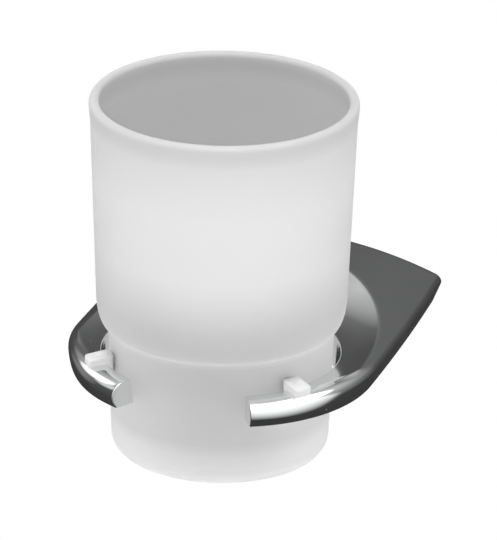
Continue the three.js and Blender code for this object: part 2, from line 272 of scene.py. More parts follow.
class MountSizes(bpy.types.PropertyGroup):
    """Sizes of the wall bracket, its pocket and the grub screws"""

    bracket_corner: size("Bracket corner", "Rounding of the bracket's corners", 1.2)
    screw_spacing: size("Screw spacing", "Between the two wall screws", 28.0)
    screw_hole: size("Screw hole", "Radius of each wall screw's hole", 2.2)
    groove: size("Groove", "Depth of the groove that the grub screws bear on", 1.5)
    pocket_depth: size("Pocket depth", "Wall to the pocket's end", 9.5)
    pocket_roof: size("Pocket roof", "Height of the pocket's roof", 4.05)
    pocket_floor: size("Pocket floor", "Height of the pocket's floor", -4.55)
    pocket_side: size("Pocket side", "Room beside the bracket", 0.6)
    thread_room: size("Thread room", "Between a grub screw and its hole", 0.3)
    thread_pitch: size("Thread pitch", "Rise of the grub screws' thread in one turn", 0.7)
    thread_depth: size("Thread depth", "Crest to root", 0.38)
    socket: size("Socket", "Half the width across the socket's flats", 1.0)
    socket_depth: size("Socket depth", "Depth of the hexagon socket", 1.6)
    tip: size("Tip", "Radius of the flat on the cone point", 0.4)


class Finishes(bpy.types.PropertyGroup):
    """Colours of the finishes"""

    chrome: colour("Chrome", "Polished chrome plate", "EBECEC")
    dust: colour("Dust", "Specks of lint on the chrome", "D8D8D4")
    glass: colour("Glass", "Etched glass", "F4F4F4")
    plastic: colour("Plastic", "Moulded translucent plastic", "FDFDFC")
    zinc: colour("Zinc", "Zinc-plated steel", "B9BEC2")
    black_oxide: colour("Black oxide", "Blackened steel", "4A4C4F")
    floor: colour("Floor", "Studio floor", "F4F4F4")


class StudioSettings(bpy.types.PropertyGroup):
    """Camera and light of the studio"""

    azimuth: angle("Azimuth", "Camera's turn to the left of the front", 18.2)
    elevation: angle("Elevation", "Camera's height over the object", 22.5)
    roll: angle("Roll", "Camera's turn about its own view", 0.77)
    distance: FloatProperty(name="Distance", description="Camera to the glass", default=2.5, unit="LENGTH")
    lens: FloatProperty(name="Lens", description="Focal length", default=606.73, unit="CAMERA")
    top_power: FloatProperty(name="Top power", description="Overhead lamp", default=13.0, unit="POWER")
    base_power: FloatProperty(name="Base power", description="Under the glass", default=0.045, unit="POWER")
    spot_power: FloatProperty(name="Spot power", description="Spot in front", default=17.0, unit="POWER")
    ambient_low: FloatProperty(name="Ambient low", description="Soft light from below", default=1.26)
    ambient_high: FloatProperty(name="Ambient high", description="Soft light from above", default=0.22)


# Modelling

def deselect_all():
    """Leaves edit mode and deselects every object."""
    if bpy.context.object and bpy.context.object.mode != "OBJECT":
        bpy.ops.object.mode_set(mode="OBJECT")
    bpy.ops.object.select_all(action="DESELECT")


def pick(piece):
    """Selects one piece alone and makes it the active one."""
    deselect_all()
    piece.select_set(True)
    bpy.context.view_layer.objects.active = piece


def name_piece(name):
    """Names the object that was just added, and its mesh."""
    piece = bpy.context.object
    piece.name = name
    piece.data.name = name
    return piece


def apply_place():
    """Puts the place, turn and scale of the selected piece into its mesh."""
    bpy.ops.object.transform_apply(location=True, rotation=True, scale=True)


def edit(piece):
    """Opens a piece in edit mode with everything selected."""
    pick(piece)
    bpy.ops.object.mode_set(mode="EDIT")
    bpy.context.tool_settings.mesh_select_mode = (True, True, True)
    bpy.ops.mesh.select_all(action="SELECT")


def close_edit(merge=FINE_WELD):
    """Merges doubled points, turns all faces outwards and leaves edit mode."""
    bpy.ops.mesh.select_all(action="SELECT")
    bpy.ops.mesh.remove_doubles(threshold=merge)
    bpy.ops.mesh.normals_make_consistent(inside=False)
    bpy.ops.object.mode_set(mode="OBJECT")


def draw_line(name, points):
    """Draws a line of points by extruding one point from the last, and stays in edit mode."""
    deselect_all()
    bpy.ops.mesh.primitive_plane_add(size=MM)
    piece = name_piece(name)
    edit(piece)
    bpy.ops.mesh.merge(type="CENTER")
    bpy.ops.transform.translate(value=points[0])
    for start, end in zip(points, points[1:]):
        bpy.ops.mesh.extrude_region_move(TRANSFORM_OT_translate={"value": Vector(end) - Vector(start)})
    return piece


def extrude_outline(name, points, width):
    """Draws an outline, fills it and extrudes it to the right."""
    piece = draw_line(name, points)
    bpy.ops.mesh.select_all(action="SELECT")
    bpy.ops.mesh.edge_face_add()
    bpy.ops.mesh.extrude_region_move(TRANSFORM_OT_translate={"value": (width, 0, 0)})
    close_edit()
    return piece


def turn_profile(name, profile, axis, steps):
    """Draws a profile of radii and heights beside an upright axis and spins it to a solid."""
    piece = draw_line(name, [(axis.x + radius, axis.y, height) for radius, height in profile])
    bpy.ops.mesh.select_all(action="SELECT")
    bpy.ops.mesh.spin(steps=steps, angle=2 * math.pi, center=axis, axis=(0, 0, 1))
    close_edit(merge=WELD)
    return piece


def add_block(name, low, high):
    """Adds a block between two corners, with its place in its mesh."""
    deselect_all()
    low, high = Vector(low), Vector(high)
    bpy.ops.mesh.primitive_cube_add(size=1, location=(low + high) / 2, scale=high - low)
    piece = name_piece(name)
    apply_place()
    return piece


def bevel_edges(piece, radius, segments, chosen):
    """Rounds the edges that chosen(middle, direction) picks."""
    edit(piece)
    bpy.ops.mesh.select_all(action="DESELECT")
    bpy.context.tool_settings.mesh_select_mode = (False, True, False)
    mesh = bmesh.from_edit_mesh(piece.data)
    for edge in mesh.edges:
        start, end = (vertex.co for vertex in edge.verts)
        edge.select_set(bool(chosen((start + end) / 2, (end - start).normalized())))
    bmesh.update_edit_mesh(piece.data)
    bpy.ops.mesh.bevel(offset=radius, segments=segments, profile=0.5, affect="EDGES")
    bpy.ops.object.mode_set(mode="OBJECT")


def apply_modifier(piece, kind, **settings):
    """Adds a modifier with its settings and applies it."""
    pick(piece)
    modifier = piece.modifiers.new(kind.title(), kind)
    for name, value in settings.items():
        setattr(modifier, name, value)
    bpy.ops.object.modifier_apply(modifier=modifier.name)


def soften_edges(piece, width):
    """Rounds every sharp edge of a piece a little."""
    apply_modifier(piece, "BEVEL", width=width, segments=3, limit_method="ANGLE", angle_limit=CREASE)


def combine(piece, tool, operation):
    """Cuts a piece by a tool, or keeps what lies in both, and removes the tool."""
    apply_modifier(piece, "BOOLEAN", operation=operation, object=tool, solver="EXACT")
    bpy.data.objects.remove(tool, do_unlink=True)


def skin_rings(name, rings):
    """Skins a mesh over rings of points, from a grid whose last column meets its first."""
    count, around = rings.shape[:2]
    deselect_all()
    bpy.ops.mesh.primitive_grid_add(x_subdivisions=around, y_subdivisions=count - 1, size=1)
    piece = name_piece(name)
    wrapped = np.concatenate([rings, rings[:, :1]], axis=1)
    piece.data.vertices.foreach_set("co", wrapped.reshape(-1).astype(np.float32))
    edit(piece)
    close_edit()
    return piece


def finish_piece(piece, material, body, nodes, smooth_angle=35.0):
    """Smooths a piece's shading, gives it its finish and ties it to the frame."""
    pick(piece)
    bpy.ops.object.shade_smooth_by_angle(angle=math.radians(smooth_angle))
    piece.data.materials.clear()
    piece.data.materials.append(material)
    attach(piece, body)
    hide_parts(*nodes)
    piece.select_set(False)


# Lines and curves

def smoothstep(value, low, high):
    """Rises smoothly from 0 at low to 1 at high."""
    share = np.clip((value - low) / (high - low), 0.0, 1.0)
    return share * share * (3.0 - 2.0 * share)


def ellipse_points(centre, radii, start, end, count):
    """Points on an elliptical arc between two angles in degrees."""
    turn = np.radians(np.linspace(start, end, count))
    return np.stack([centre[0] + radii[0] * np.cos(turn), centre[1] + radii[1] * np.sin(turn)], axis=1)


def measure(line):
    """Running length along a line, from 0 at its start."""
    return np.concatenate([[0.0], np.cumsum(np.linalg.norm(np.diff(line, axis=0), axis=1))])


def points_at(line, running, places):
    """Points of a line at places along a running measure."""
    return np.stack([np.interp(places, running, line[:, axis]) for axis in range(line.shape[1])], axis=1)


def turning_measure(line, turning_share=0.4):
    """Runs from 0 to 1 along a line, partly by length and partly by how much the line turns."""
    length = measure(line)
    steps = np.diff(line, axis=0)
    steps = steps / np.linalg.norm(steps, axis=1, keepdims=True)
    turns = np.arccos(np.clip(np.sum(steps[1:] * steps[:-1], axis=1), -1.0, 1.0))
    turned = np.concatenate([[0.0], np.cumsum(turns), [np.sum(turns)]])
    return length / length[-1] * (1 - turning_share) + turned / turned[-1] * turning_share


def ease(line, reach, count, closed):
    """Rounds a line's corners over a reach, then spaces count points closer where it turns."""
    fine_step = 0.04 * MM
    if closed:
        line = np.concatenate([line, line[:1]])
    length = measure(line)
    fine_count = int(length[-1] / fine_step)
    fine = points_at(line, length, np.linspace(0, length[-1], fine_count + 1))
    half = int(round(reach / fine_step))
    if closed:
        padded = np.concatenate([fine[-half - 1:-1], fine, fine[1:half + 1]])
    else:
        padded = np.concatenate([2 * fine[0] - fine[half:0:-1], fine, 2 * fine[-1] - fine[-2:-half - 2:-1]])
    window = np.ones(2 * half + 1) / (2 * half + 1)
    eased = np.stack([np.convolve(column, window, mode="valid") for column in padded.T], axis=1)
    places = np.linspace(0, 1, count + 1)[:-1] if closed else np.linspace(0, 1, count)
    return points_at(eased, turning_measure(eased), places)


# Casting

class CastingForm:
    """The casting's shape round the tumbler's axis, with heights above the ring's top face"""

    # Points along each stretch of the outline and of a section, before they are spaced anew
    ARC_POINTS = 400
    SIDE_POINTS = 80
    CORNER_POINTS = 30
    WALL_POINTS = 60
    HOLE_POINTS = 11
    UNDER_POINTS = 30
    TOP_POINTS = 200
    # Levels below the arm's widest line, on its upper oval and above the ring
    LOW_LEVELS = 60
    OVAL_LEVELS = 120
    HIGH_LEVELS = 140
    # Steps over the edge of the arm's end face, and the share of the face that stays quite flat
    TIP_STEPS = 7
    TIP_FLAT = 0.92
    # From this share of the front arc on, the bearings of its points move over to the side's start
    ARC_LEAVE = 0.6

    def __init__(self, sizes):
        self.sizes = sizes
        self.ring_top = BODY_LOW.z + sizes.arm_depth
        self.crown = BODY_HIGH.z - self.ring_top
        self.hole = sizes.half_width - sizes.side_widen - sizes.arm_width
        sag = self.crown - sizes.arch_edge
        self.arch_radius = (sizes.half_width ** 2 + sag ** 2) / (2 * sag)
        self.arch_centre = self.crown - self.arch_radius
        inner_radius = self.arch_radius - sizes.side_rounding
        inner_half = sizes.half_width - sizes.side_rounding
        self.rounding_centre = self.arch_centre + math.sqrt(inner_radius ** 2 - inner_half ** 2)
        rise = self.rounding_centre - self.arch_centre
        self.rounding_end = self.rounding_centre + sizes.side_rounding * rise / inner_radius

    def arm_inset(self, level):
        """How far the arm's section lies inside the outline: an ellipse below, a fuller oval above."""
        sizes = self.sizes
        above = level + sizes.arm_bulge
        if level >= 0:
            run_in = 10  # above its top the arm runs inwards this many times faster than it rises
            farthest = 3 * sizes.arm_width
            return min(sizes.arm_width + level * run_in, farthest)
        if above > 0:
            share, power = above / sizes.arm_bulge, sizes.arm_fullness
        else:
            foot_share = math.sqrt(1 - (1 - sizes.arm_foot / sizes.arm_width) ** 2)
            share, power = -above / (sizes.arm_depth - sizes.arm_bulge) * foot_share, 2
        return sizes.arm_width * (1 - (1 - share ** power) ** (1 / power))

    def block_inset(self, level):
        """How far the block's section lies inside the outline: draft below, a fillet to the arch above."""
        sizes = self.sizes
        if level < self.rounding_centre:
            side_height = self.rounding_centre + sizes.arm_depth
            return sizes.side_foot * (self.rounding_centre - level) / side_height
        rise = min(level, self.rounding_end) - self.rounding_centre
        return sizes.side_rounding - math.sqrt(sizes.side_rounding ** 2 - rise ** 2)

    def outline(self, level):
        """Half of the outline at a level, from the front round the right side to the wall's middle.

        Points with the same number lie over each other: at one bearing on the arms, and corner on corner.
        """
        sizes = self.sizes
        block = self.block_inset(level)
        turn = np.linspace(0, math.pi / 2, self.ARC_POINTS)
        blend = smoothstep(turn, sizes.blend_start, sizes.blend_end)
        radius = sizes.half_width - (self.arm_inset(level) * (1 - blend) + block * blend)
        arc = np.stack([radius * np.sin(turn), sizes.side_widen - radius * np.cos(turn)], axis=1)
        bearing = np.arctan2(arc[:, 0], -arc[:, 1])
        last = math.atan2(sizes.half_width, -sizes.side_widen)
        share = np.linspace(0, 1, len(turn))
        leaving = smoothstep(share, self.ARC_LEAVE, 1.0)
        arc = points_at(arc, bearing, share * last + (bearing[-1] - last) * leaving)
        to_wall = np.linspace(0, 1, self.SIDE_POINTS)[1:]
        corner_along = WALL_DISTANCE - sizes.corner
        widest = sizes.half_width - sizes.wall_narrowing * to_wall ** 2
        lift = self.arch(widest) - self.arch(sizes.half_width)
        side = np.stack([
            widest - [self.block_inset(level - rise) for rise in lift],
            sizes.side_widen + (corner_along - sizes.side_widen) * to_wall,
        ], axis=1)
        corner_centre = (side[-1, 0] - sizes.corner, corner_along)
        corner_radii = (sizes.corner, sizes.corner)
        corner = ellipse_points(corner_centre, corner_radii, 0, 90, self.CORNER_POINTS)[1:]
        wall = np.linspace(corner[-1], (0.0, WALL_DISTANCE), self.WALL_POINTS)[1:]
        return np.concatenate([arc, side, corner, wall])

    def arch(self, across):
        """Height of the arch over the block."""
        return self.arch_centre + np.sqrt(self.arch_radius ** 2 - across ** 2)

    def top(self, radius, across):
        """Height of the casting's top: the bowl round the glass, under the arch."""
        beyond = np.clip(radius - self.hole, 0, self.sizes.bowl)
        bowl = self.sizes.bowl - np.sqrt(self.sizes.bowl ** 2 - beyond ** 2)
        return np.minimum(bowl, self.arch(across))

    def levels(self):
        """Heights at which the outline is taken, close together where the section turns fast."""
        sizes = self.sizes
        below = np.linspace(-sizes.arm_depth, -sizes.arm_bulge, self.LOW_LEVELS)
        oval = sizes.arm_bulge * (np.sin(np.linspace(0, math.pi / 2, self.OVAL_LEVELS)) - 1)
        above = np.linspace(0, self.crown + MM, self.HIGH_LEVELS)
        return np.concatenate([below, oval[1:], above[1:]])

    def section(self, across, along, levels, bearing):
        """One closed section: from the hole's wall down, out below, up the skin and in over the top."""
        depth = self.sizes.arm_depth
        outward = np.array([math.sin(bearing), -math.cos(bearing)])
        rim, foot = self.hole * outward, (self.hole - self.sizes.hole_draft) * outward
        waist = [*(rim + foot) / 2, -depth / 2]
        over = levels - self.top(np.hypot(across, along), across)
        end = int(np.argmax(over > 0))
        share = over[end - 1] / (over[end - 1] - over[end])
        skin = np.stack([across, along, levels], axis=1)
        crossing = skin[end - 1] + (skin[end] - skin[end - 1]) * share
        inwards = np.linspace(crossing[:2], rim, self.TOP_POINTS)[1:]
        hole_down = np.linspace(waist, [*foot, -depth], self.HOLE_POINTS)[:-1]
        under = np.linspace([*foot, -depth], skin[0], self.UNDER_POINTS)[:-1]
        over_top = np.column_stack([inwards, self.top(np.hypot(*inwards.T), inwards[:, 0])])
        hole_up = np.linspace([*rim, 0], waist, self.HOLE_POINTS)[1:-1]
        return np.concatenate([hole_down, under, skin[:end], [crossing], over_top, hole_up])

    def rings(self):
        """Sections of the right half, from the arm's tip to the middle of the wall."""
        sizes = self.sizes
        levels = self.levels()
        outlines = [self.outline(level) for level in levels]
        widest = outlines[int(np.argmin(np.abs(levels - self.rounding_centre)))]
        number = np.arange(len(widest))
        bearing = np.arctan2(widest[:, 0], -widest[:, 1])
        first = sizes.front_gap + sizes.tip_ease / (self.hole + sizes.arm_width / 2)
        seen = bearing >= first
        shares = turning_measure(widest[seen])
        places = np.interp(np.linspace(0, 1, sizes.stations), shares, number[seen])
        places[0] = np.interp(first, bearing, number)
        across = np.array([np.interp(places, number, line[:, 0]) for line in outlines])
        along = np.array([np.interp(places, number, line[:, 1]) for line in outlines])
        rings = []
        for at, station in enumerate(np.interp(places, number, bearing)):
            section = self.section(across[:, at], along[:, at], levels, station)
            rings.append(ease(section, sizes.edge_ease, sizes.points, closed=True))
        # The last section lies on the plane that mirrors the casting.
        rings[-1][:, 0] = 0.0
        return np.array(self.tip_rings(rings[0], first) + rings)

    def tip_rings(self, section, bearing):
        """Rings that roll the arm's end over, from the middle of its end face outwards."""
        tip_ease = self.sizes.tip_ease
        backwards = np.array([math.cos(bearing), math.sin(bearing), 0.0])
        tangent = np.roll(section, -1, axis=0) - np.roll(section, 1, axis=0)
        inwards = np.cross(tangent, backwards)
        inwards /= np.linalg.norm(inwards, axis=1, keepdims=True)
        if np.sum(inwards * (section.mean(axis=0) - section)) < 0:
            inwards = -inwards
        rings = []
        for turn in np.radians(np.linspace(90, 0, self.TIP_STEPS)[:-1]):
            shift = -backwards * tip_ease * math.sin(turn)
            rings.append(section + shift + inwards * tip_ease * (1 - math.cos(turn)))
        middle = np.tile(rings[0].mean(axis=0), (len(section), 1))
        flat_edge = middle + (rings[0] - middle) * self.TIP_FLAT
        return [middle, flat_edge] + rings


def pocket_cutter(sizes):
    """The room for the bracket, open towards the wall."""
    overrun = 2 * MM
    half_width = BRACKET_HIGH.x + sizes.pocket_side
    low = (-half_width, -sizes.pocket_depth, sizes.pocket_floor)
    high = (half_width, overrun, sizes.pocket_roof)
    cutter = add_block("pocket_cutter", low, high)
    bevel_edges(
        cutter, sizes.bracket_corner, segments=6,
        chosen=lambda middle, direction: abs(direction.y) > PARALLEL,
    )
    return cutter


def grub_hole_cutter(sizes, side):
    """One threaded hole's room, with a small lead-in under the casting."""
    lead_in = 0.35 * MM
    steps = 64
    radius = SCREW_HIGH.x - SCREW_AXIS.x + sizes.thread_room
    low, high = BODY_LOW.z, sizes.pocket_floor + MM
    profile = [
        (0, low - lead_in),
        (radius + 2 * lead_in, low - lead_in),
        (radius, low + lead_in),
        (radius, high),
        (0, high),
    ]
    axis = Vector((side * SCREW_AXIS.x, SCREW_AXIS.y, 0))
    return turn_profile("grub_hole_cutter", profile, axis, steps)


class TUMBLER_HOLDER_OT_casting(bpy.types.Operator):
    """Makes the chrome casting: the arched block, its bowl and the open ring"""

    bl_idname = "tumbler_holder.make_casting"
    bl_label = "Make casting"

    def execute(self, context):
        sizes = context.scene.casting_sizes
        mount = context.scene.mount_sizes
        form = CastingForm(sizes)
        place = np.array([0.0, GLASS_AXIS.y, form.ring_top])
        casting = skin_rings("chrome_casting", form.rings() + place)
        apply_modifier(casting, "MIRROR", merge_threshold=WELD)
        edit(casting)
        close_edit(merge=WELD)
        combine(casting, pocket_cutter(mount), "DIFFERENCE")
        for side in (-1, 1):
            combine(casting, grub_hole_cutter(mount, side), "DIFFERENCE")
        finish_piece(casting, polished_chrome(context.scene.finishes), "holder", ["holder_body"])
        # Soft light passes the casting, whose mirror would send on about as much of it as it stops.
        casting.visible_diffuse = False
        return {"FINISHED"}


# Tumbler

def shoulder_width(sizes):
    """How far the wide part of the glass stands out over its foot."""
    straight = sizes.height - sizes.swell_height - sizes.shoulder_top
    return sizes.rim_radius - sizes.swell - sizes.upper_taper * straight - sizes.foot_radius


def foot_radius_at(sizes, height):
    """Outer radius of the foot at a height above its base."""
    return sizes.foot_radius - sizes.foot_taper * (sizes.shoulder_bottom - height)


def tumbler_outside(sizes, grow=0.0):
    """Outer profile of the glass as radius and height, from the middle of its base to the rim."""
    lip = sizes.wall / 2
    fillet = sizes.base_fillet
    base_centre = (foot_radius_at(sizes, fillet) - fillet, fillet)
    base = ellipse_points(base_centre, (fillet, fillet), -90, 0, FILLET_POINTS)
    shoulder_radii = (shoulder_width(sizes), sizes.shoulder_top - sizes.shoulder_bottom)
    shoulder_centre = (sizes.foot_radius, sizes.shoulder_top)
    shoulder = ellipse_points(shoulder_centre, shoulder_radii, -90, 0, SHOULDER_POINTS)
    swell_start = sizes.height - sizes.swell_height
    share = np.linspace(0, 1, SWELL_POINTS)[:-1]
    swell_radius = sizes.rim_radius - sizes.swell + sizes.swell * smoothstep(share, 0, 1)
    swell = np.stack([swell_radius, swell_start + share * (sizes.swell_height - lip)], axis=1)
    rim = ellipse_points((sizes.rim_radius - lip, sizes.height - lip), (lip, lip), 0, 90, RIM_POINTS)
    grown = np.concatenate([base, shoulder, swell, rim]) + np.array([grow, 0.0])
    return np.concatenate([[(0.0, 0.0)], grown])


def tumbler_inside(sizes):
    """Inner profile of the glass, from the rim down to the middle of its floor."""
    lip = sizes.wall / 2
    fillet = sizes.floor_fillet
    rim_centre = (sizes.rim_radius - lip, sizes.height - lip)
    rim = ellipse_points(rim_centre, (lip, lip), 90, 180, RIM_POINTS)[1:]
    shoulder_radii = (shoulder_width(sizes), sizes.shoulder_top - sizes.shoulder_bottom - sizes.wall)
    shoulder_centre = (sizes.foot_radius - sizes.wall, sizes.shoulder_top)
    shoulder = ellipse_points(shoulder_centre, shoulder_radii, 0, -90, SHOULDER_POINTS)
    corner_height = sizes.floor + fillet
    corner_radius = foot_radius_at(sizes, corner_height) - sizes.wall
    floor = ellipse_points((corner_radius - fillet, corner_height), (fillet, fillet), 0, -90, FILLET_POINTS)
    return np.concatenate([rim, shoulder, floor, [(0.0, sizes.floor)]])


class TUMBLER_HOLDER_OT_tumbler(bpy.types.Operator):
    """Makes the frosted glass tumbler by spinning its profile"""

    bl_idname = "tumbler_holder.make_tumbler"
    bl_label = "Make tumbler"

    def execute(self, context):
        sizes = context.scene.tumbler_sizes
        profile = np.concatenate([tumbler_outside(sizes), tumbler_inside(sizes)])
        eased = ease(profile, sizes.ease, sizes.points, closed=False)
        eased[0, 0] = eased[-1, 0] = 0.0
        placed = eased + np.array([0.0, GLASS_LOW.z])
        tumbler = turn_profile("frosted_tumbler", placed, GLASS_AXIS, sizes.steps)
        finish_piece(tumbler, etched_glass(context.scene.finishes), "glass", ["tumbler"])
        return {"FINISHED"}


# Clips

def clip_block(name, sizes, form, inner, end_top):
    """One clip before it is seated, drawn for the front: saddle, tongue and hook with moulded edges."""
    outer = form.hole + sizes.reach
    hook_end = form.hole + sizes.lip_reach
    hook_foot = CLIP_FOOT - form.ring_top
    saddle_foot = -form.sizes.arm_depth / 2
    overrun = 2 * MM
    tongue_in = inner - overrun
    arc_points = 8
    nose_round, end_round = sizes.nose_round, sizes.end_round
    slope = math.degrees(math.atan2(sizes.nose_top - end_top, outer - inner))
    end_centre = (outer - end_round, end_top - end_round)
    end_arc = ellipse_points(end_centre, (end_round, end_round), 0, 90 - slope, arc_points)
    nose_centre = (inner + nose_round, sizes.nose_top - nose_round)
    nose_arc = ellipse_points(nose_centre, (nose_round, nose_round), 90 - slope, 180, arc_points)
    outline = [
        (tongue_in, hook_foot),
        (hook_end, hook_foot),
        (hook_end, saddle_foot),
        (outer, saddle_foot),
        *end_arc,
        *nose_arc,
        (tongue_in, sizes.nose_top - nose_round - overrun),
    ]
    points = [(-sizes.width / 2, -radius, height) for radius, height in outline]
    clip = extrude_outline(name, points, sizes.width)
    plan = add_block(
        "clip_plan",
        (-sizes.width / 2, -outer, hook_foot - MM),
        (sizes.width / 2, -inner, sizes.nose_top + MM),
    )
    middle_radius = (inner + outer) / 2
    bevel_edges(
        plan, sizes.nose_plan, segments=10,
        chosen=lambda middle, direction: abs(direction.z) > PARALLEL and -middle.y < middle_radius,
    )
    end_edge = outer - sizes.end_plan / 2
    bevel_edges(
        plan, sizes.end_plan, segments=6,
        chosen=lambda middle, direction: abs(direction.z) > PARALLEL and -middle.y > end_edge,
    )
    combine(clip, plan, "INTERSECT")
    soften_edges(clip, sizes.edge)
    return clip


def gate_cutter(sizes, form, inner, end_top):
    """The shallow mark that the mould's gate leaves on a clip's top."""
    outer = form.hole + sizes.reach
    from_nose = 3.4 * MM
    radius = inner + from_nose
    share = (radius - inner) / (outer - inner)
    top = sizes.nose_top + (end_top - sizes.nose_top) * share
    half = sizes.gate_across / 2
    ball = (half ** 2 + sizes.gate_deep ** 2) / (2 * sizes.gate_deep)
    deselect_all()
    bpy.ops.mesh.primitive_uv_sphere_add(
        segments=96, ring_count=64, radius=ball, location=(0, -radius, top + ball - sizes.gate_deep)
    )
    cutter = name_piece("gate_cutter")
    apply_place()
    return cutter


def seat_clip(clip, sizes, form, bearing, casting):
    """Turns a clip to its bearing, then cuts away the metal and the glass with their gaps."""
    clip.location = (0, GLASS_AXIS.y, form.ring_top)
    clip.rotation_euler = (0, 0, bearing)
    pick(clip)
    apply_place()
    metal = bpy.data.objects.new("metal_room", casting.data.copy())
    bpy.context.scene.collection.objects.link(metal)
    apply_modifier(metal, "DISPLACE", strength=sizes.metal_gap, mid_level=0.0)
    combine(clip, metal, "DIFFERENCE")
    glass_sizes = bpy.context.scene.tumbler_sizes
    profile = [*tumbler_outside(glass_sizes, sizes.glass_gap)[:-1], (0.0, glass_sizes.height)]
    placed = np.array(profile) + np.array([0.0, GLASS_LOW.z])
    glass = turn_profile("glass_room", placed, GLASS_AXIS, glass_sizes.steps)
    combine(clip, glass, "DIFFERENCE")


class TUMBLER_HOLDER_OT_clips(bpy.types.Operator):
    """Makes the three plastic clips that hold the glass off the metal"""

    bl_idname = "tumbler_holder.make_clips"
    bl_label = "Make clips"

    def execute(self, context):
        sizes = context.scene.clip_sizes
        form = CastingForm(context.scene.casting_sizes)
        glass = context.scene.tumbler_sizes
        casting = bpy.data.objects["chrome_casting"]
        inner = foot_radius_at(glass, form.ring_top - GLASS_LOW.z) + sizes.glass_gap
        material = translucent_plastic(context.scene.finishes)
        places = {
            "left_clip": (-sizes.bearing, sizes.end_top),
            "right_clip": (sizes.bearing, sizes.end_top),
            "back_clip": (math.pi, sizes.back_end_top),
        }
        for node, (bearing, end_top) in places.items():
            clip = clip_block("plastic_" + node, sizes, form, inner, end_top)
            combine(clip, gate_cutter(sizes, form, inner, end_top), "DIFFERENCE")
            seat_clip(clip, sizes, form, bearing, casting)
            finish_piece(clip, material, "holder", [node])
        return {"FINISHED"}


# Wall bracket and grub screws

class TUMBLER_HOLDER_OT_bracket(bpy.types.Operator):
    """Makes the steel wall bracket with its two screw holes and its groove"""

    bl_idname = "tumbler_holder.make_bracket"
    bl_label = "Make bracket"

    def execute(self, context):
        sizes = context.scene.mount_sizes
        bracket = add_block("steel_bracket", BRACKET_LOW, BRACKET_HIGH)
        bevel_edges(
            bracket, sizes.bracket_corner, segments=8,
            chosen=lambda middle, direction: abs(direction.y) > PARALLEL,
        )
        overrun = MM
        edge = 0.18 * MM
        for side in (-1, 1):
            deselect_all()
            bpy.ops.mesh.primitive_cylinder_add(
                vertices=64,
                radius=sizes.screw_hole,
                depth=BRACKET_HIGH.y - BRACKET_LOW.y + 2 * overrun,
                location=(side * sizes.screw_spacing / 2, (BRACKET_LOW.y + BRACKET_HIGH.y) / 2, 0),
                rotation=(math.pi / 2, 0, 0),
            )
            hole = name_piece("screw_hole_cutter")
            apply_place()
            combine(bracket, hole, "DIFFERENCE")
        reach = BRACKET_HIGH.x + overrun
        middle, foot, depth = SCREW_AXIS.y, BRACKET_LOW.z, sizes.groove
        outline = [
            (-reach, middle - depth, foot),
            (-reach, middle, foot + depth),
            (-reach, middle + depth, foot),
            (-reach, middle, foot - depth),
        ]
        combine(bracket, extrude_outline("groove_cutter", outline, 2 * reach), "DIFFERENCE")
        soften_edges(bracket, edge)
        material = zinc_plated_steel(context.scene.finishes)
        finish_piece(bracket, material, "holder", ["wall_bracket"])
        return {"FINISHED"}


def screw_rings(sizes):
    """Rings of a cone-pointed grub screw with a helical thread, from its socket's floor to its tip."""
    around = 72
    thread_rings = 60
    cone_rings = 12
    flank_slope = 2.4  # rise of a flank in thread depths per pitch
    root_share = 0.2  # how far the flanks are sunk, which leaves the root flat
    mouth = 1.22 * sizes.socket
    turn = np.linspace(0, 2 * math.pi, around, endpoint=False)
    radius = (SCREW_HIGH.x - SCREW_LOW.x) / 2
    low, high = SCREW_LOW.z, SCREW_HIGH.z
    chamfer = 0.25 * MM
    cone_start = high - (radius - sizes.tip)
    root = radius - sizes.thread_depth
    facet = math.pi / 3
    hexagon = sizes.socket / np.cos((turn % facet) - facet / 2)
    plain = np.ones(around)
    socket_floor = low + sizes.socket_depth
    lines = [(0.0 * plain, socket_floor), (hexagon, socket_floor), (hexagon, low + chamfer / 2)]
    lines += [(mouth * plain, low), ((root - chamfer / 2) * plain, low)]
    for height in np.linspace(low + chamfer / 2, cone_start, thread_rings):
        phase = ((height - low) / sizes.thread_pitch - turn / (2 * math.pi)) % 1.0
        flank = np.clip(np.abs(phase - 0.5) * flank_slope - root_share, 0, 1)
        fade = smoothstep(height, low, low + 2 * chamfer)
        lines.append((root + (radius - root) * flank * fade, height))
    for share in np.linspace(0, 1, cone_rings)[1:]:
        cone = radius + (sizes.tip - radius) * share
        lines.append((np.minimum(lines[-1][0], cone), cone_start + (high - cone_start) * share))
    lines.append((0.0 * plain, high))
    return np.array([
        np.stack([rim * np.cos(turn), rim * np.sin(turn), np.full(around, height)], axis=1)
        for rim, height in lines
    ])


class TUMBLER_HOLDER_OT_grub_screws(bpy.types.Operator):
    """Makes the two grub screws that lock the casting on its bracket"""

    bl_idname = "tumbler_holder.make_grub_screws"
    bl_label = "Make grub screws"

    def execute(self, context):
        rings = screw_rings(context.scene.mount_sizes)
        material = blackened_steel(context.scene.finishes)
        for node, side in {"left_grub_screw": -1, "right_grub_screw": 1}.items():
            place = np.array([side * SCREW_AXIS.x, SCREW_AXIS.y, 0.0])
            screw = skin_rings("threaded_" + node, rings + place)
            finish_piece(screw, material, "holder", [node], smooth_angle=40.0)
        return {"FINISHED"}


# Finishes

def add_node(tree, kind, settings=None, values=None, links=None):
    """Adds a node, sets its properties and input values, and links outputs to its inputs."""
    node = tree.nodes.new(kind)
    for name, value in (settings or {}).items():
        setattr(node, name, value)
    for name, value in (values or {}).items():
        node.inputs[name].default_value = value
    for name, output in (links or {}).items():
        tree.links.new(output, node.inputs[name])
    return node


def new_material(name):
    """A material whose node tree has only its output."""
    material = bpy.data.materials.new(name)
    material.use_nodes = True
    tree = material.node_tree
    tree.nodes.clear()
    output = add_node(tree, "ShaderNodeOutputMaterial")
    return material, tree, output


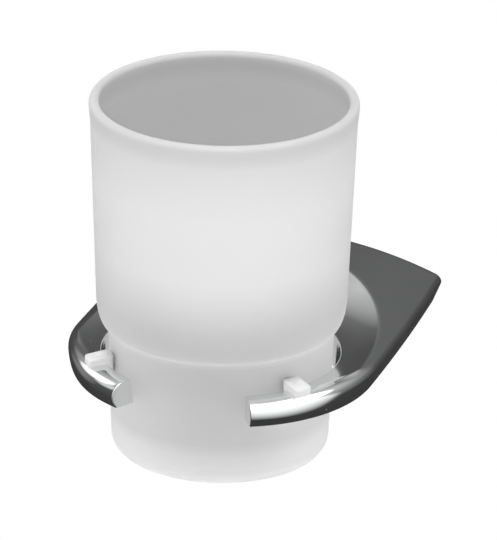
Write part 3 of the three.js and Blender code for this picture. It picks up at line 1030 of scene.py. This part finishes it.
def polished_chrome(finishes):
    """Chrome plate on a buffed zinc casting: a mirror with a faint ripple, a haze and a little lint."""
    haze_size = 11 * MM
    ripple_size = 3 * MM
    lint_spacing = 7 * MM
    material, tree, output = new_material("polished_chrome_plate")
    place = add_node(tree, "ShaderNodeTexCoord").outputs["Object"]
    haze = add_node(
        tree, "ShaderNodeTexNoise",
        values={"Scale": 1 / haze_size, "Detail": 3.0},
        links={"Vector": place},
    )
    roughness = add_node(
        tree, "ShaderNodeMapRange",
        values={"From Min": 0.35, "From Max": 0.7, "To Min": 0.06, "To Max": 0.12},
        links={"Value": haze.outputs["Fac"]},
    )
    ripple = add_node(
        tree, "ShaderNodeTexNoise",
        values={"Scale": 1 / ripple_size, "Detail": 1.0},
        links={"Vector": place},
    )
    bump = add_node(
        tree, "ShaderNodeBump", values={"Strength": 0.05, "Distance": 0.02 * MM},
        links={"Height": ripple.outputs["Fac"]},
    )
    lint = add_node(
        tree, "ShaderNodeTexVoronoi", values={"Scale": 1 / lint_spacing}, links={"Vector": place}
    )
    speck = add_node(
        tree, "ShaderNodeMapRange",
        settings={"interpolation_type": "SMOOTHSTEP"},
        values={"From Min": 0.03, "From Max": 0.015, "To Min": 0.0, "To Max": 0.7},
        links={"Value": lint.outputs["Distance"]},
    )
    mirror = add_node(
        tree, "ShaderNodeBsdfPrincipled",
        values={"Base Color": finishes.chrome, "Metallic": 1.0},
        links={"Roughness": roughness.outputs["Result"], "Normal": bump.outputs["Normal"]},
    )
    fibre = add_node(
        tree, "ShaderNodeBsdfPrincipled", values={"Base Color": finishes.dust, "Roughness": 0.8}
    )
    plate = add_node(
        tree, "ShaderNodeMixShader",
        links={0: speck.outputs["Result"], 1: mirror.outputs["BSDF"], 2: fibre.outputs["BSDF"]},
    )
    tree.links.new(plate.outputs["Shader"], output.inputs["Surface"])
    return material


def etched_glass(finishes):
    """Soda-lime glass etched in acid: milky, with a fine even grain that spreads all light, and painted
    light and shade by height.
    """
    # The etch pits are about 0.05 mm across; they are drawn ten times coarser to show at all.
    grain_size = 0.5 * MM
    cloud_size = 16 * MM
    # Light soaks farther through the thick floor than through the wall.
    soak_height = 12 * MM
    floor_soak = 20 * MM
    wall_soak = 6 * MM
    material, tree, output = new_material("acid_etched_glass")
    place = add_node(tree, "ShaderNodeTexCoord").outputs["Object"]
    grain = add_node(
        tree, "ShaderNodeTexNoise", values={"Scale": 1 / grain_size, "Detail": 2.0}, links={"Vector": place}
    )
    bump = add_node(
        tree, "ShaderNodeBump", values={"Strength": 0.1, "Distance": 0.02 * MM},
        links={"Height": grain.outputs["Fac"]},
    )
    cloud = add_node(
        tree, "ShaderNodeTexNoise", values={"Scale": 1 / cloud_size, "Detail": 3.0}, links={"Vector": place}
    )
    roughness = add_node(
        tree, "ShaderNodeMapRange",
        values={"From Min": 0.3, "From Max": 0.7, "To Min": 0.5, "To Max": 0.6},
        links={"Value": cloud.outputs["Fac"]},
    )
    height = add_node(tree, "ShaderNodeSeparateXYZ", links={0: place})
    share = add_node(
        tree, "ShaderNodeMapRange", values={"From Min": GLASS_LOW.z, "From Max": GLASS_HIGH.z},
        links={"Value": height.outputs["Z"]},
    )
    # Painted light and shade: a ramp by height lightens and darkens the glass's colour where light and shade
    # would fall.
    painted_light_ramp = add_node(tree, "ShaderNodeValToRGB", links={"Fac": share.outputs["Result"]})
    # A ramp is never empty, so one of its first two stops stays until the others are in.
    stops = painted_light_ramp.color_ramp.elements
    stops.remove(stops[1])
    for above_base, brightness in GLASS_PAINTED_LIGHT:
        stop = stops.new(above_base * MM / GLASS_HEIGHT)
        stop.color = (brightness, brightness, brightness, 1)
    stops.remove(stops[0])
    shade = add_node(
        tree, "ShaderNodeVectorMath", settings={"operation": "MULTIPLY"},
        values={1: finishes.glass[:3]}, links={0: painted_light_ramp.outputs["Color"]},
    )
    soak = add_node(
        tree, "ShaderNodeMapRange",
        values={
            "From Min": GLASS_LOW.z,
            "From Max": GLASS_LOW.z + soak_height,
            "To Min": floor_soak,
            "To Max": wall_soak,
        },
        links={"Value": height.outputs["Z"]},
    )
    glass = add_node(
        tree, "ShaderNodeBsdfPrincipled",
        values={
            "Transmission Weight": 0.1,
            "Subsurface Weight": 0.8,
            "Subsurface Radius": (1.0, 1.0, 1.0),
            "IOR": 1.5,
        },
        links={
            "Base Color": shade.outputs["Vector"],
            "Subsurface Scale": soak.outputs["Result"],
            "Roughness": roughness.outputs["Result"],
            "Normal": bump.outputs["Normal"],
        },
    )
    tree.links.new(glass.outputs["BSDF"], output.inputs["Surface"])
    return material


def translucent_plastic(finishes):
    """Natural polypropylene from the mould: waxy white, with light that soaks in and a satin skin."""
    flow_size = 2.5 * MM
    material, tree, output = new_material("moulded_polypropylene")
    place = add_node(tree, "ShaderNodeTexCoord").outputs["Object"]
    flow = add_node(
        tree, "ShaderNodeTexNoise", values={"Scale": 1 / flow_size, "Detail": 2.0}, links={"Vector": place}
    )
    roughness = add_node(
        tree, "ShaderNodeMapRange",
        values={"From Min": 0.3, "From Max": 0.7, "To Min": 0.3, "To Max": 0.42},
        links={"Value": flow.outputs["Fac"]},
    )
    bump = add_node(
        tree, "ShaderNodeBump", values={"Strength": 0.15, "Distance": 0.03 * MM},
        links={"Height": flow.outputs["Fac"]},
    )
    plastic = add_node(
        tree, "ShaderNodeBsdfPrincipled",
        values={
            "Base Color": finishes.plastic,
            "Subsurface Weight": 0.6,
            "Subsurface Radius": (1.5, 1.5, 1.5),
            "Subsurface Scale": MM,
            "IOR": 1.49,
        },
        links={"Roughness": roughness.outputs["Result"], "Normal": bump.outputs["Normal"]},
    )
    tree.links.new(plastic.outputs["BSDF"], output.inputs["Surface"])
    return material


def zinc_plated_steel(finishes):
    """Bright zinc over rolled steel: bluish grey, with fine lines along the rolling, some of them dull."""
    line_width = 0.4 * MM
    line_stretch = 0.06  # how fast the pattern changes along the lines, where 1 is across them
    material, tree, output = new_material("zinc_plated_steel")
    place = add_node(tree, "ShaderNodeTexCoord").outputs["Object"]
    stretch = add_node(
        tree, "ShaderNodeMapping", values={"Scale": (line_stretch, 1.0, 1.0)}, links={"Vector": place}
    )
    lines = add_node(
        tree, "ShaderNodeTexNoise", values={"Scale": 1 / line_width, "Detail": 2.0},
        links={"Vector": stretch.outputs["Vector"]},
    )
    roughness = add_node(
        tree, "ShaderNodeMapRange",
        values={"From Min": 0.3, "From Max": 0.7, "To Min": 0.28, "To Max": 0.45},
        links={"Value": lines.outputs["Fac"]},
    )
    bump = add_node(
        tree, "ShaderNodeBump", values={"Strength": 0.2, "Distance": 0.02 * MM},
        links={"Height": lines.outputs["Fac"]},
    )
    steel = add_node(
        tree, "ShaderNodeBsdfPrincipled",
        values={"Base Color": finishes.zinc, "Metallic": 1.0},
        links={"Roughness": roughness.outputs["Result"], "Normal": bump.outputs["Normal"]},
    )
    tree.links.new(steel.outputs["BSDF"], output.inputs["Surface"])
    return material


def blackened_steel(finishes):
    """Hardened steel with black oxide: dark and a little oily, in patches that shine more and less."""
    patch_size = 0.8 * MM
    material, tree, output = new_material("black_oxide_steel")
    place = add_node(tree, "ShaderNodeTexCoord").outputs["Object"]
    patches = add_node(
        tree, "ShaderNodeTexNoise", values={"Scale": 1 / patch_size, "Detail": 3.0}, links={"Vector": place}
    )
    roughness = add_node(
        tree, "ShaderNodeMapRange",
        values={"From Min": 0.3, "From Max": 0.7, "To Min": 0.3, "To Max": 0.5},
        links={"Value": patches.outputs["Fac"]},
    )
    steel = add_node(
        tree, "ShaderNodeBsdfPrincipled",
        values={"Base Color": finishes.black_oxide, "Metallic": 1.0},
        links={"Roughness": roughness.outputs["Result"]},
    )
    tree.links.new(steel.outputs["BSDF"], output.inputs["Surface"])
    return material


# Studio

def place_camera(studio):
    """Puts the camera at the photograph's viewing angle, with the glass left of the middle."""
    turn, rise, roll = studio.azimuth, studio.elevation, studio.roll
    level = Vector((math.cos(turn), math.sin(turn), 0))
    ahead = Vector((-math.sin(turn) * math.cos(rise), math.cos(turn) * math.cos(rise), -math.sin(rise)))
    upright = level.cross(ahead)
    focal_pixels = studio.lens / SENSOR * IMAGE_HEIGHT
    aim = Vector((0, GLASS_AXIS.y, AIM_HEIGHT)) + level * AIM_SHIFT
    eye = aim - ahead * studio.distance
    right = level * math.cos(roll) + upright * math.sin(roll)
    up = upright * math.cos(roll) - level * math.sin(roll)
    ahead = (ahead + right * (AIM_LEFT / focal_pixels) + up * (AIM_BELOW / focal_pixels)).normalized()
    right = (right - ahead * right.dot(ahead)).normalized()
    up = right.cross(ahead)
    camera = bpy.data.cameras.new("camera")
    camera.sensor_width = SENSOR
    camera.lens = studio.lens
    camera.clip_end = VIEW_END
    camera_object = bpy.data.objects.new("camera", camera)
    bpy.context.scene.collection.objects.link(camera_object)
    axes = Matrix((right, up, -ahead)).transposed()
    camera_object.matrix_world = Matrix.Translation(eye) @ axes.to_4x4()
    bpy.context.scene.camera = camera_object


def white_world(studio):
    """A white background for the eye, mirrors and glass, and softer light for everything else."""
    world = bpy.data.worlds.new("white_studio")
    bpy.context.scene.world = world
    world.use_nodes = True
    tree = world.node_tree
    tree.nodes.clear()
    rays = add_node(tree, "ShaderNodeLightPath")
    eye_or_mirror = add_node(
        tree, "ShaderNodeMath", settings={"operation": "MAXIMUM"},
        links={0: rays.outputs["Is Camera Ray"], 1: rays.outputs["Is Glossy Ray"]},
    )
    seen = add_node(
        tree, "ShaderNodeMath", settings={"operation": "MAXIMUM"},
        links={0: eye_or_mirror.outputs["Value"], 1: rays.outputs["Is Transmission Ray"]},
    )
    sight = add_node(tree, "ShaderNodeTexCoord").outputs["Generated"]
    height = add_node(tree, "ShaderNodeSeparateXYZ", links={0: sight})
    ambient = add_node(
        tree, "ShaderNodeMapRange",
        values={
            "From Min": AMBIENT_START,
            "From Max": AMBIENT_END,
            "To Min": studio.ambient_low,
            "To Max": studio.ambient_high,
        },
        links={"Value": height.outputs["Z"]},
    )
    sideways = add_node(
        tree, "ShaderNodeVectorMath", settings={"operation": "DOT_PRODUCT"},
        values={1: (math.cos(SIDE_TURN), math.sin(SIDE_TURN), 0)}, links={0: sight},
    ).outputs["Value"]
    square = add_node(
        tree, "ShaderNodeMath", settings={"operation": "MULTIPLY"}, links={0: sideways, 1: sideways}
    )
    both_sides = add_node(
        tree, "ShaderNodeMapRange", values={"To Min": SIDE_LEAST, "To Max": SIDE_MOST},
        links={"Value": square.outputs["Value"]},
    )
    soft_light = add_node(
        tree, "ShaderNodeMath", settings={"operation": "MULTIPLY"},
        links={0: ambient.outputs["Result"], 1: both_sides.outputs["Result"]},
    )
    strength = add_node(
        tree, "ShaderNodeMapRange", values={"To Max": 1.0},
        links={"Value": seen.outputs["Value"], "To Min": soft_light.outputs["Value"]},
    )
    background = add_node(
        tree, "ShaderNodeBackground", values={"Color": (1, 1, 1, 1)},
        links={"Strength": strength.outputs["Result"]},
    )
    add_node(tree, "ShaderNodeOutputWorld", links={"Surface": background.outputs["Background"]})


def pale_floor(finishes):
    """A plain pale floor, white to the eye but for the object's shadow."""
    deselect_all()
    bpy.ops.mesh.primitive_circle_add(
        vertices=96, radius=FLOOR_RADIUS, fill_type="NGON", location=(0, GLASS_AXIS.y, FLOOR_HEIGHT)
    )
    floor = name_piece("studio_floor")
    floor.visible_glossy = False
    material, tree, output = new_material("pale_floor")
    rays = add_node(tree, "ShaderNodeLightPath")
    seen = add_node(
        tree, "ShaderNodeMath", settings={"operation": "MAXIMUM"},
        links={0: rays.outputs["Is Camera Ray"], 1: rays.outputs["Is Transmission Ray"]},
    )
    share = add_node(
        tree, "ShaderNodeMath", settings={"operation": "MULTIPLY"}, values={1: FLOOR_GLOW},
        links={0: seen.outputs["Value"]},
    )
    paint = add_node(tree, "ShaderNodeBsdfDiffuse", values={"Color": finishes.floor})
    glow = add_node(tree, "ShaderNodeEmission", values={"Color": (1, 1, 1, 1), "Strength": 1.0})
    mixed = add_node(
        tree, "ShaderNodeMixShader",
        links={0: share.outputs["Value"], 1: paint.outputs["BSDF"], 2: glow.outputs["Emission"]},
    )
    tree.links.new(mixed.outputs["Shader"], output.inputs["Surface"])
    floor.data.materials.append(material)


def sky_direction(bearing, elevation):
    """A direction from the object: its bearing clockwise from the back, seen from above, in degrees."""
    turn, rise = math.radians(bearing), math.radians(elevation)
    return Vector((math.sin(turn) * math.cos(rise), math.cos(turn) * math.cos(rise), math.sin(rise)))


def card_share(tree, sight, bearing, elevation, inner, outer):
    """How far a direction lies on a round card: 1 inside its inner radius, 0 outside its outer one."""
    nearness = add_node(
        tree, "ShaderNodeVectorMath", settings={"operation": "DOT_PRODUCT"},
        values={1: sky_direction(bearing, elevation)}, links={0: sight},
    )
    share = add_node(
        tree, "ShaderNodeMapRange",
        values={"From Min": math.cos(math.radians(outer)), "From Max": math.cos(math.radians(inner))},
        links={"Value": nearness.outputs["Value"]},
    )
    return share.outputs["Result"]


def studio_tent():
    """Grey cards and soft boxes round the object that only its mirrors see."""
    deselect_all()
    bpy.ops.mesh.primitive_uv_sphere_add(segments=64, ring_count=32, radius=TENT_RADIUS)
    tent = name_piece("studio_tent")
    for ray in ("camera", "diffuse", "transmission", "volume_scatter", "shadow"):
        setattr(tent, "visible_" + ray, False)
    material, tree, output = new_material("studio_cards")
    place = add_node(tree, "ShaderNodeTexCoord").outputs["Object"]
    sight = add_node(
        tree, "ShaderNodeVectorMath", settings={"operation": "NORMALIZE"}, links={0: place}
    ).outputs["Vector"]
    height = add_node(tree, "ShaderNodeSeparateXYZ", links={0: sight}).outputs["Z"]
    lights = []
    for low, high, gain in SKY_STEPS:
        step = add_node(
            tree, "ShaderNodeMapRange",
            values={
                "From Min": math.sin(math.radians(low)),
                "From Max": math.sin(math.radians(high)),
                "To Max": gain,
            },
            links={"Value": height},
        )
        lights.append(step.outputs["Result"])
    front = card_share(tree, sight, FRONT_BEARING, 0, FRONT_FULL, FRONT_END)
    for bearing, elevation, inner, outer, strength, front_only in SOFT_BOXES:
        share = card_share(tree, sight, bearing, elevation, inner, outer)
        glow = add_node(
            tree, "ShaderNodeMath", settings={"operation": "MULTIPLY"},
            values={1: strength}, links={0: share},
        ).outputs["Value"]
        if front_only:
            glow = add_node(
                tree, "ShaderNodeMath", settings={"operation": "MULTIPLY"}, links={0: glow, 1: front}
            ).outputs["Value"]
        lights.append(glow)
    total = add_node(
        tree, "ShaderNodeMath", settings={"operation": "ADD"}, values={1: TENT_DARK}, links={0: lights[0]}
    ).outputs["Value"]
    for light in lights[1:]:
        total = add_node(
            tree, "ShaderNodeMath", settings={"operation": "ADD"}, links={0: total, 1: light}
        ).outputs["Value"]
    card = add_node(
        tree, "ShaderNodeEmission", values={"Color": (1, 1, 1, 1)}, links={"Strength": total}
    )
    tree.links.new(card.outputs["Emission"], output.inputs["Surface"])
    tent.data.materials.append(material)


def add_lamp(name, kind, place, power, **settings):
    """A lamp that points at the wide part of the glass and isn't seen in the mirrors."""
    lamp = bpy.data.lights.new(name, kind)
    lamp.energy = power
    for setting, value in settings.items():
        setattr(lamp, setting, value)
    lamp_object = bpy.data.objects.new(name, lamp)
    bpy.context.scene.collection.objects.link(lamp_object)
    lamp_object.location = place
    lamp_object.rotation_euler = (LAMP_AIM - Vector(place)).to_track_quat("-Z", "Y").to_euler()
    lamp_object.visible_glossy = False


class TUMBLER_HOLDER_OT_studio(bpy.types.Operator):
    """Sets up the camera, the white world, the floor, the cards and the lamps"""

    bl_idname = "tumbler_holder.set_studio"
    bl_label = "Set studio"

    def execute(self, context):
        studio = context.scene.studio_settings
        place_camera(studio)
        context.scene.view_settings.view_transform = "Standard"
        white_world(studio)
        pale_floor(context.scene.finishes)
        studio_tent()
        add_lamp("top_lamp", "AREA", TOP_LAMP_PLACE, studio.top_power, size=TOP_LAMP_SIZE)
        add_lamp("base_lamp", "AREA", BASE_LAMP_PLACE, studio.base_power, size=BASE_LAMP_SIZE)
        add_lamp(
            "front_spot", "SPOT", SPOT_PLACE, studio.spot_power,
            spot_size=SPOT_ANGLE, spot_blend=1.0, shadow_soft_size=SPOT_RADIUS,
        )
        return {"FINISHED"}


# Add-on

GROUPS = {
    "studio_settings": StudioSettings,
    "finishes": Finishes,
    "casting_sizes": CastingSizes,
    "tumbler_sizes": TumblerSizes,
    "clip_sizes": ClipSizes,
    "mount_sizes": MountSizes,
}
OPERATORS = (
    TUMBLER_HOLDER_OT_studio,
    TUMBLER_HOLDER_OT_casting,
    TUMBLER_HOLDER_OT_tumbler,
    TUMBLER_HOLDER_OT_clips,
    TUMBLER_HOLDER_OT_bracket,
    TUMBLER_HOLDER_OT_grub_screws,
)


class VIEW3D_PT_tumbler_holder(bpy.types.Panel):
    """Lists the sizes and the steps"""

    bl_label = "Tumbler Holder"
    bl_space_type = "VIEW_3D"
    bl_region_type = "UI"
    bl_category = "Tumbler Holder"

    def draw(self, context):
        for operator in OPERATORS:
            self.layout.operator(operator.bl_idname)
        for name in GROUPS:
            group = getattr(context.scene, name)
            box = self.layout.box()
            for key in group.__annotations__:
                box.prop(group, key)


def register():
    """Registers the classes and hangs their settings on the scene."""
    for kind in (*GROUPS.values(), *OPERATORS, VIEW3D_PT_tumbler_holder):
        bpy.utils.register_class(kind)
    for name, kind in GROUPS.items():
        setattr(bpy.types.Scene, name, PointerProperty(type=kind))


def unregister():
    """Takes the settings and the classes away again."""
    for name in GROUPS:
        delattr(bpy.types.Scene, name)
    for kind in (VIEW3D_PT_tumbler_holder, *OPERATORS, *GROUPS.values()):
        bpy.utils.unregister_class(kind)


def main():
    """Registers the add-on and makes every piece."""
    register()
    bpy.ops.tumbler_holder.set_studio()
    bpy.ops.tumbler_holder.make_casting()
    bpy.ops.tumbler_holder.make_tumbler()
    bpy.ops.tumbler_holder.make_clips()
    bpy.ops.tumbler_holder.make_bracket()
    bpy.ops.tumbler_holder.make_grub_screws()


if __name__ == "__main__":
    main()
